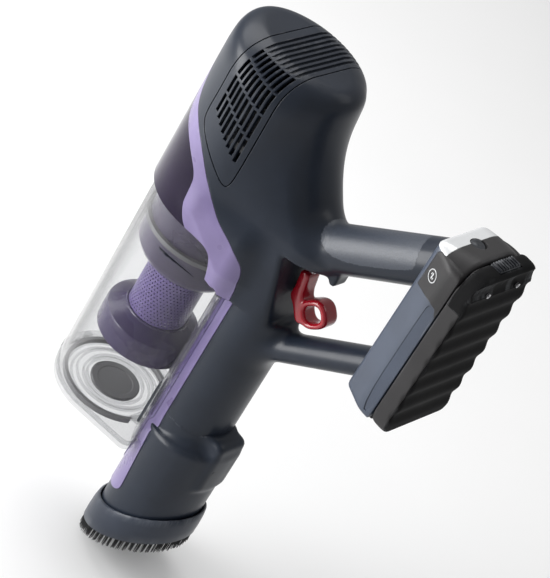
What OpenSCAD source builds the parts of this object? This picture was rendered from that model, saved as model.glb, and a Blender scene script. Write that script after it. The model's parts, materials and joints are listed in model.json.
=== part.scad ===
// Handheld unit of a cordless stick vacuum.
// The origin is on the duct axis at the mouth of the wand socket, +Z runs up the duct
// to the motor, and +X points from the dust bin to the handle and battery.

/* [Duct and nozzle] */
// Outer radius of the air duct
duct_r = 24.5; // [20:0.5:30]
// Wall of the duct and of the nozzle's upper part
duct_wall = 2.6; // [2:0.2:4]
// Outer radius of the nozzle, which is flush with the duct at the front
nozzle_r = 29.8; // [27:0.2:36]
// Height of the joint between nozzle and duct
nozzle_top = 72; // [66:1:90]
// Radius of the socket that takes the wand's spigot
socket_r = 17.5; // [14:0.5:19]
// Full-round length of the wand socket
socket_len = 60; // [40:1:66]
// Height of the closed top of the air duct
duct_top = 186; // [165:1:190]

/* [Brush] */
// Wall of the sliding brush collar
collar_wall = 3.4; // [2.5:0.1:5]
// Height of the brush collar along the duct
collar_h = 22; // [16:1:26]
// Angle at which the collar and nozzle mouth are cut
brush_slant = 29; // [15:1:32]
// Free length of the bristles
bristle_len = 9; // [5:0.5:12]

/* [Dust bin] */
// Distance from the duct axis back to the axis of bin and motor
bin_offset = 62; // [58:1:72]
// Outer radius of the bin
bin_r = 41; // [36:0.5:43]
// Height of the bin's lowest face
bin_bottom = 43; // [34:1:60]
// Height of the bin's top rim
bin_top = 210; // [190:1:214]
// Wall of the clear bin
bin_wall = 2.2; // [1.6:0.1:3]
// Radius of the perforated cyclone mesh
mesh_r = 20; // [15:0.5:23]
// Height of the cyclone mesh
mesh_h = 47; // [30:1:55]

/* [Motor housing] */
// Outer radius of the motor housing
drum_r = 44.5; // [42:0.5:50]
// Height of the top of the motor housing
drum_top = 337; // [325:1:360]
// Wall of the housing
shell = 2.6; // [2:0.1:3.4]
// Outer radius of the motor can
motor_r = 26; // [20:0.5:29]
// Number of blades on the fan
blade_count = 9; // [5:1:13]
// Lanes of vent slots on each side
vent_lanes = 8; // [5:1:8]
// Spacing of the vent lanes
vent_pitch = 3.65; // [3.2:0.05:3.8]

/* [Handle and battery] */
// Rise of the two handle bars away from the duct
bar_angle = 38; // [34:1:41]
// Depth of the grip
grip_d = 31; // [26:1:36]
// Width of the grip
grip_w = 34; // [28:1:38]
// Depth of the lower bar
strut_d = 19; // [14:1:24]
// Gap for the fingers between the two bars
finger_gap = 42; // [36:1:46]
// Distance from the duct axis to the battery holder
holder_x = 84; // [80:1:100]
// Width of the battery and its holder
battery_w = 60; // [50:1:70]
// Depth of the battery behind the holder's edge
battery_d = 13; // [12:1:22]
// Height of the lowest face of the battery
battery_bottom = 204; // [190:1:206]
// Height of the top face of the battery
battery_top = 332; // [326:1:345]

/* [Moving parts] */
// How far the trigger is pulled
trigger_travel = 5; // [3:0.5:6]
// Radial clearance of pins and shafts that turn
run_clear = 0.06; // [0.03:0.01:0.1]
// Gap between pieces that slide past each other
slide_gap = 0.5; // [0.3:0.1:0.8]
// How far each push button travels
press = 2; // [1:0.5:2.5]

/* [Hidden] */

round_fn = 48;
hull_fn = 32;
big = 400;

nozzle_x = nozzle_r - duct_r;
collar_in = nozzle_r + slide_gap;
collar_out = collar_in + collar_wall;
collar_mid = 4;
bore_r = duct_r - duct_wall - 0.4;
trim_tip = 14;
trim_half = duct_r + 3.5;

bin_x = -bin_offset;
lid_h = 4;
port_w = 26;
port_low = 120;
port_h = 36;
notch_gap = 2.2;
notch_r = duct_r + notch_gap;
wing_r = 6;
wing_x = -20;
wing_y = bin_r - wing_r - 7;
skirt_r = bin_r - bin_wall - 7;
skirt_low = 93;
mesh_low = skirt_low + 22;
collar_low = mesh_low + mesh_h;
lid_top = bin_bottom + lid_h - 0.5;
cup_low = bin_bottom + lid_h;
hinge_x = bin_x - bin_r + 1.2;
hinge_z = bin_bottom + 0.8;
hinge_r = 1;
knuckle_r = 2.2;
knuckle_w = 15;
ear_w = 4;
collar_r = bin_r - bin_wall - 3;

drum_low = bin_top + 2;
side_round = 20;
end_round = 11;
vent_x = bin_x - 8.8;
vent_back = vent_x + (vent_lanes - 1) * vent_pitch + 4.5;
vent_rows = 3;
vent_rib = 2;
vent_top = drum_top - side_round + 4;
vent_low = 252.5;
vent_lift = 28;
slot_lift = 18.5;

motor_low = drum_low + 24;
motor_h = 50;
shaft_r = 2.5;
bearing_r = 8;
bearing_h = 6;
fan_r = 29;
fan_low = drum_low + 8;
fan_h = 10;

gap_x = 12;
grip_axis = 185.1;
strut_axis = grip_axis - grip_d / 2 - finger_gap - strut_d / 2;
gap_lean = 6;
gap_top = bar_z(grip_axis, gap_x) - 8;
bar_start = gap_x + 6;
holder_edge = holder_x + 27;
holder_half = battery_w / 2;
holder_top = battery_top - 9;
trigger_z = 206;
trigger_x = 30;
trigger_w = 13;
button_gap = 0.4;
part_gap = 0.3;
release_d = battery_d - 7;
spring_shut = 4.3;
cell_r = 7.8;
cell_pitch = 16;
cells_across = floor((battery_w - 12) / cell_pitch);
trigger_r = (finger_gap - 18) / 2;
stem_h = gap_top - trigger_travel - spring_shut - duct_top;
mode_r = 5;

// Height of a bar's middle line at a given distance from the duct axis
function bar_z(axis, x) = (axis + x * sin(bar_angle)) / cos(bar_angle);

module ring(r_out, r_in, h) {
  difference() {
    cylinder(r = r_out, h = h, $fn = 96);
    translate([0, 0, -1]) cylinder(r = r_in, h = h + 2, $fn = 96);
  }
}

// A flat outline in X and Z, made into a sheet of the given width across Y
module side_sheet(width) {
  rotate([90, 0, 0]) translate([0, 0, -width / 2]) linear_extrude(width) children();
}

module left_side() { translate([-big / 2, -big, -big / 2]) cube([big, big, 2 * big]); }

module right_side() { translate([-big / 2, 0, -big / 2]) cube([big, big, 2 * big]); }

// Everything below a plane slanted like the brush, through height z on the nozzle's axis
module below_slant(z) {
  translate([nozzle_x, 0, z]) rotate([0, -brush_slant, 0])
    translate([-big / 2, -big / 2, -big]) cube([big, big, big]);
}

// ---- nozzle, duct and brush ----

module nozzle_body() color("slategray") difference() {
  translate([nozzle_x, 0, -40]) cylinder(r = nozzle_r, h = nozzle_top + 40, $fn = 96);
  translate([0, 0, -60]) cylinder(r = socket_r + 3, h = 60, $fn = 96);
  translate([0, 0, -1]) cylinder(r = socket_r, h = socket_len + 1, $fn = 96);
  translate([0, 0, socket_len]) cylinder(r = bore_r, h = big, $fn = 96);
  below_slant(-16);
  button_pocket();
  trim_on_nozzle(0);
}

module button_pocket() {
  translate([duct_r + 0.3, -11, nozzle_top - 12]) cube([30, 22, 40]);
}

module wand_button() color("dimgray")
  translate([duct_r + 0.3 + press + button_gap, 0, nozzle_top - 12 + button_gap]) side_sheet(21)
    polygon([[0, 0], [7, 0], [8, 6], [1.5, 24], [0, 24]]);

module duct_tube() color("slategray") difference() {
  translate([0, 0, nozzle_top]) cylinder(r = duct_r, h = duct_top - nozzle_top, $fn = 96);
  translate([0, 0, nozzle_top - 1]) cylinder(r = bore_r, h = duct_top - nozzle_top - 3, $fn = 96);
  duct_port();
  trim_on_duct(0);
}

module duct_port() {
  translate([-duct_r - 12, -port_w / 2, port_low]) cube([duct_r, port_w, port_h]);
}

module inlet_seal() color("black") difference() {
  intersection() {
    translate([0, 0, port_low - 5]) ring(notch_r - 0.3, duct_r + 0.6, port_h + 10);
    translate([-duct_r - 12, -port_w / 2 - 4, 0]) cube([duct_r, port_w + 8, big]);
  }
  duct_port();
}

// The lilac strip down the front of the duct
module trim_on_duct(proud) {
  difference() {
    translate([0, 0, nozzle_top]) ring(duct_r + proud, duct_r - 1.2, duct_top - nozzle_top);
    translate([-5, -big / 2, 0]) cube([big, big, big]);
  }
}

// The strip's lower end, which narrows to a round tip on the nozzle
module trim_on_nozzle(proud) {
  intersection() {
    translate([nozzle_x, 0, 2]) ring(nozzle_r + proud, nozzle_r - 1.2, nozzle_top - 2);
    translate([-nozzle_r, 0, trim_tip + 2]) rotate([0, 90, 0])
      scale([1, trim_half / trim_tip, 1]) cylinder(r = trim_tip, h = nozzle_r - 5, $fn = 64);
  }
  intersection() {
    translate([nozzle_x, 0, trim_tip + 2]) ring(nozzle_r + proud, nozzle_r - 1.2, nozzle_top - trim_tip - 2);
    translate([-nozzle_r - 5, -trim_half, 0]) cube([nozzle_r, 2 * trim_half, nozzle_top]);
  }
}

module lilac_trim() color("mediumpurple") difference() {
  union() {
    trim_on_duct(0.5);
    trim_on_nozzle(0.4);
  }
  duct_port();
}

module brush_collar() color("lightslategray") difference() {
  translate([nozzle_x, 0, -60]) ring(collar_out, collar_in, 120);
  below_slant(collar_mid - collar_h);
  difference() {
    translate([-big / 2, -big / 2, -big / 2]) cube(big);
    below_slant(collar_mid);
  }
}

module bristles() color("black") difference() {
  translate([nozzle_x, 0, -80]) ring(collar_out - 0.6, collar_out - 3, 120);
  below_slant(collar_mid - collar_h - bristle_len);
  difference() {
    translate([-big / 2, -big / 2, -big / 2]) cube(big);
    below_slant(collar_mid - collar_h);
  }
}

// ---- dust bin ----

// Outline of the bin: round in front, with two wings beside the duct
module bin_outline(inset) {
  difference() {
    hull() {
      translate([bin_x, 0]) circle(r = bin_r - inset, $fn = 96);
      for (y = [-wing_y, wing_y]) translate([wing_x, y]) circle(r = wing_r - inset, $fn = hull_fn);
    }
    circle(r = notch_r + inset, $fn = 96);
    translate([nozzle_x, 0]) circle(r = nozzle_r + 1.4 + inset, $fn = 96);
  }
}

module bin_cup() color("gainsboro", 0.4) difference() {
  union() {
    translate([0, 0, cup_low]) linear_extrude(bin_top - cup_low) bin_outline(0);
    for (side = [-1, 1]) {
      hinge_barrel(side * (knuckle_w + ear_w + 0.4) / 2, ear_w, knuckle_r);
      translate([hinge_x - 1.2, side * (knuckle_w + ear_w + 0.4) / 2 - ear_w / 2, hinge_z])
        cube([2.4, ear_w, cup_low - hinge_z + 1]);
    }
  }
  translate([0, 0, cup_low - 1]) linear_extrude(big) bin_outline(bin_wall);
  translate([-duct_r - 12, -port_w / 2, port_low]) cube([20, port_w, port_h]);
  hinge_barrel(0, knuckle_w + 2 * ear_w + 4, hinge_r);
}

// A round bar on the lid's hinge line
module hinge_barrel(y, width, r) {
  translate([hinge_x, y + width / 2, hinge_z]) rotate([90, 0, 0])
    cylinder(r = r, h = width, $fn = round_fn);
}

module lid_hinge_pin() color("silver") hinge_barrel(0, knuckle_w + 2 * ear_w, hinge_r);

module bin_spigot_seal() color("black") translate([0, 0, bin_top]) linear_extrude(drum_low - bin_top)
  difference() {
    translate([bin_x, 0]) circle(r = bin_r - 1, $fn = 96);
    translate([bin_x, 0]) circle(r = bin_r - 5, $fn = 96);
    circle(r = notch_r + 1, $fn = 96);
  }

module bin_lid() color("gainsboro", 0.4) difference() {
  union() {
    difference() {
      translate([0, 0, bin_bottom]) linear_extrude(lid_top - bin_bottom) bin_outline(0);
      for (side = [-1, 1]) translate([hinge_x - 8, side * (knuckle_w + ear_w + 0.4) / 2 - ear_w / 2 - 0.3, 0])
        cube([11, ear_w + 0.6, big]);
    }
    translate([bin_x, 0, lid_top]) for (in = [13, 17, 21]) ring(bin_r - in + 0.7, bin_r - in - 0.7, 1.2);
    hinge_barrel(0, knuckle_w, knuckle_r);
  }
  hinge_barrel(0, knuckle_w + 2, hinge_r + run_clear);
}

module lid_seal() color("black") translate([0, 0, lid_top]) linear_extrude(3.5) difference() {
  translate([bin_x, 0]) circle(r = bin_r - bin_wall - 2.6, $fn = 96);
  translate([bin_x, 0]) circle(r = bin_r - bin_wall - 5, $fn = 96);
  circle(r = nozzle_r + 4, $fn = 96);
}

module lid_disc() color("silver") translate([bin_x, 0, lid_top]) cylinder(r = 17, h = 1.6, $fn = 96);

module lid_latch() color("gainsboro") translate([-notch_r - 10.3, -6, bin_bottom - 2])
  cube([8, 12, 2]);

module cyclone_skirt() color("slateblue") difference() {
  translate([bin_x, 0, skirt_low]) rotate_extrude($fn = 96)
    polygon([[skirt_r, 0], [skirt_r, 15], [mesh_r + 1.4, 22], [mesh_r - 1.6, 22], [mesh_r - 1.6, 20],
      [skirt_r - 1.8, 13.8], [skirt_r - 1.8, 0]]);
  cylinder(r = notch_r + bin_wall + part_gap, h = big, $fn = 96);
}

module mesh_filter() color("mediumpurple") translate([bin_x, 0, mesh_low]) ring(mesh_r, mesh_r - 1.2, mesh_h);

module cyclone_cone() color("slateblue") translate([bin_x, 0, 0]) rotate_extrude($fn = 96)
  polygon([[7, skirt_low + 6], [mesh_r - 3, collar_low - 12], [mesh_r - 3, collar_low],
    [mesh_r - 4.6, collar_low], [mesh_r - 4.6, collar_low - 12], [5.4, skirt_low + 6]]);

// A round bar that clears the bin's wall round the duct
module notch_room(grow) {
  translate([0, 0, collar_low - 1]) cylinder(r = notch_r + bin_wall + part_gap + grow, h = big, $fn = 96);
}

module cyclone_collar() color("gainsboro", 0.6) {
  difference() {
    translate([bin_x, 0, collar_low]) rotate_extrude($fn = 96)
      polygon([[mesh_r - 5, 0], [skirt_r - 1, 0], [collar_r, 7], [collar_r, bin_top - collar_low - 1],
        [collar_r - 1.8, bin_top - collar_low - 1], [collar_r - 1.8, 7.8], [skirt_r - 2, 2], [mesh_r - 5, 2]]);
    notch_room(0);
  }
  intersection() {
    difference() {
      translate([bin_x, 0, collar_low + 5]) cylinder(r = collar_r - 0.9, h = bin_top - collar_low - 6, $fn = 96);
      notch_room(0);
    }
    notch_room(1.8);
  }
}

module collar_seal() color("gray") difference() {
  translate([bin_x, 0, bin_top - 24]) ring(bin_r - bin_wall - 0.2, collar_r, 3);
  notch_room(0);
}

module foam_filter() color("dimgray") difference() {
  translate([bin_x, 0, bin_top - 16]) cylinder(r = collar_r - 2, h = 13, $fn = 96);
  notch_room(1.8 + part_gap);
}

module bin_button() color("dimgray")
  translate([bin_x - drum_r - 0.8, -9, drum_low + 4]) cube([shell + 2, 18, 9]);

// ---- motor housing ----

// Full form of the motor housing and the neck that joins it to the handle
module housing_form(inset) {
  r = drum_r - inset;
  hull() {
    translate([bin_x, 0, drum_low]) cylinder(r = r, h = drum_top - side_round - drum_low, $fn = 64);
    translate([bin_x + 5, 0, drum_top - inset - 1]) scale([1, (drum_r - side_round) / drum_r, 1])
      cylinder(r = r - end_round, h = 1, $fn = 64);
    translate([bin_x, 0, drum_top - end_round]) scale([1, 0.86, 1]) cylinder(r = r - 1, h = 1, $fn = 64);
    translate([bin_x + 9, 0, drum_top - 40]) cylinder(r = r - 7, h = 40 - end_round, $fn = 64);
    translate([0, 0, duct_top]) cylinder(r = duct_r - inset, h = 60, $fn = 64);
  }
}

// The space for the fingers in front of the lower bar, grown by a margin
module finger_room(margin) {
  side_sheet(200) polygon([[gap_x + gap_lean - margin, 0], [gap_x + gap_lean - margin, duct_top],
    [gap_x - gap_lean - margin, gap_top + margin], [big, gap_top + margin], [big, 0]]);
}

// Side outline of the housing behind the lilac band
module rear_outline() {
  polygon([[-114, 360], [-110, 345], [-104, 318], [-99, 297], [-91, 280], [-80, 272], [-65, 262], [-49, 244],
    [-42, 238], [-33, 231], [-21, 225.5], [-12, 218], [-8, 208], [-7, duct_top], [80, duct_top], [80, 360]]);
}

// Side outline of the band and everything behind it
module band_outline() {
  polygon([[-118, 360], [-114, 345], [-107, 312], [-103, 285], [-95, 266], [-83, 260], [-73, 255], [-62, 246],
    [-60, 236], [-58, 222], [-50, drum_low], [-30, drum_low - 8], [-26, duct_top], [80, duct_top], [80, 360]]);
}

module housing_shell() difference() {
  housing_form(0);
  difference() {
    housing_form(shell);
    finger_room(shell);
  }
  finger_room(0);
  translate([0, 0, -1]) linear_extrude(drum_low + 1) bin_outline(-1);
}

module housing_rear() {
  intersection() {
    housing_shell();
    side_sheet(200) rear_outline();
  }
}

module vent_cut(inset) {
  side_sheet(200) polygon([[vent_x - 7 + inset, vent_low + vent_lift + inset], [vent_back - 4, vent_low + inset],
    [vent_back - inset, vent_low + 2 + inset], [vent_back - inset, vent_top], [vent_x - 7 + inset, vent_top]]);
}

module housing_half() difference() {
  housing_rear();
  vent_cut(0);
  bar_form(grip_axis, grip_d, grip_w, bar_start, 120);
}

module housing_left() color("slategray") intersection() { housing_half(); left_side(); }

module housing_right() color("slategray") intersection() { housing_half(); right_side(); }

module vent_slots() {
  for (lane = [0:vent_lanes - 1]) {
    low = vent_low + 36 - slot_lift * lane / (vent_lanes - 1);
    rise = (vent_top - vent_rib - low) / vent_rows;
    for (row = [0:vent_rows - 1])
      translate([vent_x + lane * vent_pitch - 1, -60, low + row * rise]) cube([2, 120, rise - vent_rib]);
  }
}

module vent_panels() difference() {
  intersection() {
    translate([bin_x, 0, vent_low - 5]) ring(drum_r, drum_r - 2.2, vent_top - vent_low + 5);
    vent_cut(0.3);
  }
  vent_slots();
}

module vent_panel_left() color("slategray") intersection() { vent_panels(); left_side(); }

module vent_panel_right() color("slategray") intersection() { vent_panels(); right_side(); }

module band() difference() {
  intersection() {
    housing_shell();
    side_sheet(200) band_outline();
  }
  side_sheet(220) rear_outline();
}

module lilac_band_left() color("mediumpurple") intersection() { band(); left_side(); }

module lilac_band_right() color("mediumpurple") intersection() { band(); right_side(); }

module smoked_cover() color("indigo", 0.8) difference() {
  housing_shell();
  side_sheet(200) band_outline();
  translate([bin_x - drum_r - 5, -9 - button_gap, drum_low + 4 - button_gap])
    cube([20, 18 + 2 * button_gap, 9 + 2 * button_gap]);
  translate([-50, -100, 0]) cube([200, 200, drum_low]);
}

// ---- motor and filters ----

module motor_bulkhead() color("dimgray") translate([bin_x, 0, drum_low]) ring(drum_r - shell - 1, 16, 3);

module motor_mount() color("black") translate([bin_x, 0, 0]) {
  translate([0, 0, motor_low + 4]) ring(drum_r - shell - 0.3, motor_r, 5);
  translate([0, 0, motor_low + motor_h - 9]) ring(drum_r - shell - 0.3, motor_r, 5);
}

module motor_can() color("silver") translate([bin_x, 0, motor_low]) difference() {
  cylinder(r = motor_r, h = motor_h, $fn = 96);
  translate([0, 0, 2 + bearing_h]) cylinder(r = motor_r - 1.6, h = motor_h - 4 - 2 * bearing_h, $fn = 96);
  translate([0, 0, -1]) cylinder(r = bearing_r, h = 3 + bearing_h, $fn = 96);
  translate([0, 0, motor_h - 2 - bearing_h]) cylinder(r = bearing_r, h = bearing_h, $fn = 96);
  for (a = [0:60:300]) rotate(a) translate([16, 0, -1]) cylinder(r = 3.5, h = motor_h + 2, $fn = 32);
}

module stator() color("peru") translate([bin_x, 0, motor_low + 11]) difference() {
  cylinder(r = motor_r - 1.6, h = 26, $fn = 96);
  translate([0, 0, -1]) cylinder(r = 11, h = 28, $fn = 96);
  for (a = [0:60:300]) rotate(a + 30) translate([16.5, 0, -1]) cylinder(r = 4, h = 28, $fn = 32);
}

module bearing(z) translate([bin_x, 0, z]) ring(bearing_r, shaft_r + run_clear, bearing_h);

module lower_bearing() color("silver") bearing(motor_low + 2);

module upper_bearing() color("silver") bearing(motor_low + motor_h - 2 - bearing_h);

module rotor() color("gray") translate([bin_x, 0, motor_low + 12]) ring(10.2, shaft_r, 24);

module motor_shaft() color("silver") translate([bin_x, 0, fan_low - 2])
  cylinder(r = shaft_r, h = motor_low + motor_h - 3 - fan_low + 2, $fn = 48);

module fan() color("dimgray") translate([bin_x, 0, fan_low]) {
  difference() {
    union() {
      translate([0, 0, fan_h - 2]) cylinder(r = fan_r, h = 2, $fn = 96);
      cylinder(r = 7, h = fan_h, $fn = 48);
      for (i = [0:blade_count - 1]) rotate(i * 360 / blade_count)
        translate([6, -0.8, 0]) rotate(18) cube([fan_r - 9, 1.6, fan_h - 1]);
    }
    translate([0, 0, -1]) cylinder(r = shaft_r, h = fan_h + 2, $fn = 48);
  }
}

module exhaust_filter() color("white") translate([bin_x, 0, motor_low + motor_h + 4])
  ring(drum_r - shell - 7, 16, 18);

module control_board() color("darkgreen") translate([-20, -15, duct_top + 6]) cube([1.6, 30, 26]);

// ---- handle ----

// A rounded bar along a handle line, from one distance to another
module bar_form(axis, depth, width, x_from, x_to) {
  run = (x_to - x_from) / cos(bar_angle);
  translate([x_from, 0, bar_z(axis, x_from)]) rotate([0, 90 - bar_angle, 0])
    linear_extrude(run) bar_section(depth, width);
}

module bar_section(depth, width) {
  r = min(depth, width) / 2 - 2;
  union() {
    square([depth, width - 2 * r], center = true);
    square([depth - 2 * r, width], center = true);
    for (x = [-1, 1], y = [-1, 1]) translate([x * (depth / 2 - r), y * (width / 2 - r)]) circle(r = r, $fn = 64);
  }
}

module grip_shell() difference() {
  intersection() {
    union() {
      bar_form(grip_axis, grip_d, grip_w, bar_start, 140);
      finger_spur();
    }
    translate([-20, -big / 2, 0]) cube([holder_x + 20, big, big]);
  }
  bar_form(grip_axis, grip_d - 2 * shell, grip_w - 2 * shell, bar_start - 10, 140);
  inlay_form(0);
}

// Small guard under the grip, behind the trigger finger
module finger_spur() {
  translate([gap_x + 14, 0, gap_top]) side_sheet(12)
    polygon([[0, 8], [9, 12], [7.5, -5], [5.5, -8], [3, -8], [1.2, -5]]);
}

module inlay_form(proud) {
  intersection() {
    difference() {
      bar_form(grip_axis, grip_d + 2 * proud, grip_w + 2 * proud, bar_start + 10, 70);
      bar_form(grip_axis, grip_d - 1.6, grip_w - 1.6, 20, 80);
    }
    translate([0, 0, bar_z(grip_axis, 0)]) rotate([0, -bar_angle, 0])
      translate([0, -big / 2, -3]) cube([big, big, big]);
  }
}

module grip_shell_left() color("slategray") intersection() { grip_shell(); left_side(); }

module grip_shell_right() color("slategray") intersection() { grip_shell(); right_side(); }

module grip_inlay() color("dimgray") inlay_form(0.3);

module lower_bar() color("slategray") difference() {
  intersection() {
    bar_form(strut_axis, strut_d, 26, 14, 140);
    translate([-20, -big / 2, 0]) cube([holder_x + 20, big, big]);
  }
  translate([0, 0, nozzle_top]) cylinder(r = duct_r, h = duct_top - nozzle_top, $fn = 96);
}

module trigger() color("crimson") difference() {
  union() {
    translate([trigger_x, trigger_w / 2, trigger_z]) rotate([90, 0, 0])
      cylinder(r = trigger_r, h = trigger_w, $fn = 96);
    translate([gap_x, 0, duct_top]) side_sheet(trigger_w)
      polygon([[7, 7], [14, 7], [18, stem_h - 11], [7, stem_h], [1.5, stem_h]]);
  }
  translate([trigger_x, 10, trigger_z]) rotate([90, 0, 0]) cylinder(r = trigger_r - 3.8, h = 20, $fn = 96);
}

module trigger_spring() color("silver") translate([gap_x + 4.2, 0, duct_top + stem_h])
  ring(2.6, 1.6, gap_top - duct_top - stem_h);

module trigger_switch() color("black") translate([-8, -4, gap_top - 16]) cube([10, 8, 12]);

// ---- battery and holder ----

// The holder's outline seen from above, with chamfered front corners
module holder_plan(inset) {
  polygon([[holder_x + inset, -holder_half + 10], [holder_x + 9, -holder_half + inset],
    [holder_edge, -holder_half + inset], [holder_edge, holder_half - inset],
    [holder_x + 9, holder_half - inset], [holder_x + inset, holder_half - 10]]);
}

module battery_holder() color("lightslategray") difference() {
  translate([0, 0, battery_bottom]) linear_extrude(holder_top - battery_bottom) holder_plan(0);
  translate([0, 0, battery_bottom - 1]) linear_extrude(battery_top - 18 - battery_bottom)
    translate([slide_gap, 0]) holder_plan(3);
  translate([holder_edge - 2, -holder_half + 3, battery_bottom - 1])
    cube([10, battery_w - 6, battery_top - 18 - battery_bottom]);
  translate([holder_x + 3, -14, holder_top - 7]) cube([18, 28, 20]);
}

module display_window() color("white") difference() {
  translate([holder_x + 3, -14, holder_top - 4.5]) cube([18, 28, 6]);
  mode_place() cylinder(r = mode_r + button_gap, h = 20, $fn = round_fn);
}

module mode_place() translate([holder_x + 12, 0, holder_top - 5.5]) children();

module mode_button() color("silver") mode_place() translate([0, 0, press + 2]) cylinder(r = mode_r, h = 5.5, $fn = round_fn);

module display_board() color("darkgreen") translate([holder_x + 3.5, -13, holder_top - 6.6])
  cube([17, 26, 1.6]);

module battery_contacts() color("gold") for (y = [-14, -7, 7, 14])
  translate([holder_x + 6, y - 1, battery_top - 30]) cube([4.6, 2, 11]);

module battery_case() color("dimgray") difference() {
  union() {
    translate([holder_x + 11, -holder_half + 4, battery_bottom])
      cube([holder_edge - holder_x - 10, battery_w - 8, battery_top - 20 - battery_bottom]);
    translate([holder_edge + slide_gap, -holder_half, battery_bottom])
      cube([battery_d - 4, battery_w, battery_top - battery_bottom]);
  }
  translate([holder_x + 13, -holder_half + 6, battery_bottom + 2])
    cube([holder_edge - holder_x - 6 + battery_d - 5, battery_w - 12, battery_top - 24 - battery_bottom]);
  translate([holder_edge + 1.6, -10 - button_gap, battery_top - 3 - press - button_gap])
    cube([release_d + 2 * button_gap, 20 + 2 * button_gap, 20]);
}

module battery_button() color("dimgray") translate([holder_edge + 1.6 + button_gap, -10, battery_top - 3])
  cube([release_d, 20, 5]);

module battery_cells() color("royalblue") for (i = [0:cells_across - 1], z = [0, 1])
  translate([holder_x + 23.5, (i - (cells_across - 1) / 2) * cell_pitch, battery_bottom + 3 + z * 51])
    cylinder(r = cell_r, h = 50, $fn = 48);

module battery_board() color("darkgreen") translate([holder_x + 34, -holder_half + 8, battery_bottom + 5])
  cube([1.6, battery_w - 16, 100]);

module battery_back() color("black") difference() {
  translate([holder_edge + slide_gap + battery_d - 4, -holder_half, battery_bottom])
    cube([4, battery_w, battery_top - battery_bottom]);
  screw_holes(1.7);
}

module screw_holes(r) {
  for (y = [-14, 14]) translate([holder_edge + battery_d - 8, y, battery_top - 14]) rotate([0, 90, 0])
    cylinder(r = r, h = 30, $fn = 32);
}

module battery_screws() color("silver") intersection() {
  screw_holes(1.6);
  translate([holder_edge + battery_d - 3.5, -50, 0]) cube([3, 100, big]);
}

nozzle_body();
duct_tube();
inlet_seal();
lilac_trim();
wand_button();
brush_collar();
bristles();
bin_cup();
bin_spigot_seal();
bin_lid();
lid_seal();
lid_disc();
lid_hinge_pin();
lid_latch();
cyclone_skirt();
mesh_filter();
cyclone_cone();
cyclone_collar();
collar_seal();
foam_filter();
bin_button();
smoked_cover();
lilac_band_left();
lilac_band_right();
housing_left();
housing_right();
vent_panel_left();
vent_panel_right();
motor_bulkhead();
motor_mount();
motor_can();
stator();
lower_bearing();
upper_bearing();
fan();
rotor();
motor_shaft();
exhaust_filter();
control_board();
trigger();
trigger_spring();
trigger_switch();
grip_shell_left();
grip_shell_right();
grip_inlay();
lower_bar();
battery_holder();
battery_contacts();
display_window();
display_board();
battery_case();
battery_cells();
battery_board();
battery_back();
battery_screws();
battery_button();
mode_button();
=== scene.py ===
import json
import math
import random

import bmesh
import bpy
import numpy as np
from mathutils import Matrix, Vector


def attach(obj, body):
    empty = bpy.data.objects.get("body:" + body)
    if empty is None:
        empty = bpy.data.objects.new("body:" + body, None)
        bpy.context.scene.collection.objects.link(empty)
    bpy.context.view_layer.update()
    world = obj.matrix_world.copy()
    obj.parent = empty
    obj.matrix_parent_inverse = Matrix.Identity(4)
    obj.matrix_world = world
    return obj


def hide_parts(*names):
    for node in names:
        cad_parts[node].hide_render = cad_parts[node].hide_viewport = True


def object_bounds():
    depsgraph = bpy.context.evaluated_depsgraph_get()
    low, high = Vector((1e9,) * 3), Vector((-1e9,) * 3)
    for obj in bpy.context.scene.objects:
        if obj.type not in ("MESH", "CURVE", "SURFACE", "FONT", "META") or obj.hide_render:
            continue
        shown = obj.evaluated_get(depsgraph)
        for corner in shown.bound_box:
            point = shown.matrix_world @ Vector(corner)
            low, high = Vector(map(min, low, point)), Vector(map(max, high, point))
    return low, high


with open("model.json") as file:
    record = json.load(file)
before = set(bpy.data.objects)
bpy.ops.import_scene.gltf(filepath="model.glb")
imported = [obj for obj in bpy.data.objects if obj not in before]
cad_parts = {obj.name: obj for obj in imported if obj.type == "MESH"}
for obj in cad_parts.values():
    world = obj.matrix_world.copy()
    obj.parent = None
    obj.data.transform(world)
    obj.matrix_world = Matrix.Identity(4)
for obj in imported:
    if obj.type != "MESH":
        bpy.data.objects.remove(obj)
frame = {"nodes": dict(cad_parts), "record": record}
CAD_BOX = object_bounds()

# ---------------------------------------------------------------- camera

AIM = Vector((0.0011718, 0.0, 0.19622))
AZIMUTH, ELEVATION, ROLL, DISTANCE = 26.0, 36.0, 31.625, 1.75758
LENS = 180.6


def camera_axes():
    """Right, up and back directions of the camera, in the part's frame"""
    az, el, roll = (math.radians(a) for a in (AZIMUTH, ELEVATION, ROLL))
    back = Vector((math.sin(az) * math.cos(el), -math.cos(az) * math.cos(el), math.sin(el)))
    level = Vector((math.cos(az), math.sin(az), 0))
    rise = back.cross(level)
    right = level * math.cos(roll) + rise * math.sin(roll)
    up = rise * math.cos(roll) - level * math.sin(roll)
    return right, up, back


RIGHT, UP, BACK = camera_axes()


def facing(place, back, up):
    right = up.cross(back).normalized()
    up = back.cross(right).normalized()
    turn = Matrix((right, up, back.normalized())).transposed().to_4x4()
    return Matrix.Translation(place) @ turn


lens = bpy.data.cameras.new("camera")
lens.lens = LENS
lens.sensor_width = 36
lens.clip_start = 0.05
camera = bpy.data.objects.new("camera", lens)
camera.matrix_world = facing(AIM + BACK * DISTANCE, BACK, UP)
bpy.context.scene.collection.objects.link(camera)
bpy.context.scene.camera = camera

# ---------------------------------------------------------------- materials


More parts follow.
